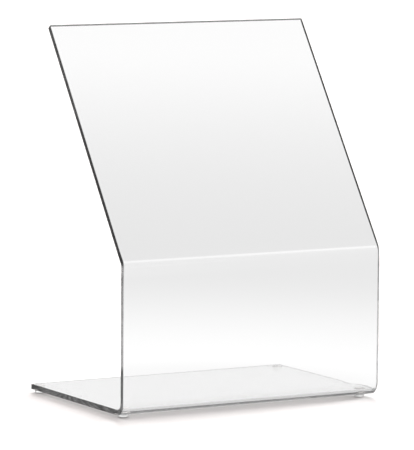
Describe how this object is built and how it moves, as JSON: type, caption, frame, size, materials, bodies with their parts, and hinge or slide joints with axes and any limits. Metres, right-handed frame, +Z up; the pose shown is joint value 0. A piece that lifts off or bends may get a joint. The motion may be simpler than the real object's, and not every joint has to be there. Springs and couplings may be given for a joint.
{
  "type": "display stand",
  "caption": "Clear bent-sheet display stand with a flat base, an upright riser and an upper panel leaning back over the base, on small clear bumper feet.",
  "frame": {"origin": "middle of the width and depth, on the surface that the feet stand on", "axes": "+Z up, +Y towards the back (the way the panel leans), +X to the right as seen from the front"},
  "size_m": [0.216, 0.1456, 0.2772],
  "materials": {
    "clear_acrylic": "polished",
    "clear_bumper": "satin",
    "clear_adhesive": "satin"
  },
  "bodies": {
    "root": {"bent_sheet": "clear_acrylic", "foot_front_left": "clear_bumper", "foot_front_right": "clear_bumper", "foot_back_left": "clear_bumper", "foot_back_right": "clear_bumper", "adhesive_front_left": "clear_adhesive", "adhesive_front_right": "clear_adhesive", "adhesive_back_left": "clear_adhesive", "adhesive_back_right": "clear_adhesive"}
  },
  "joints": []
}
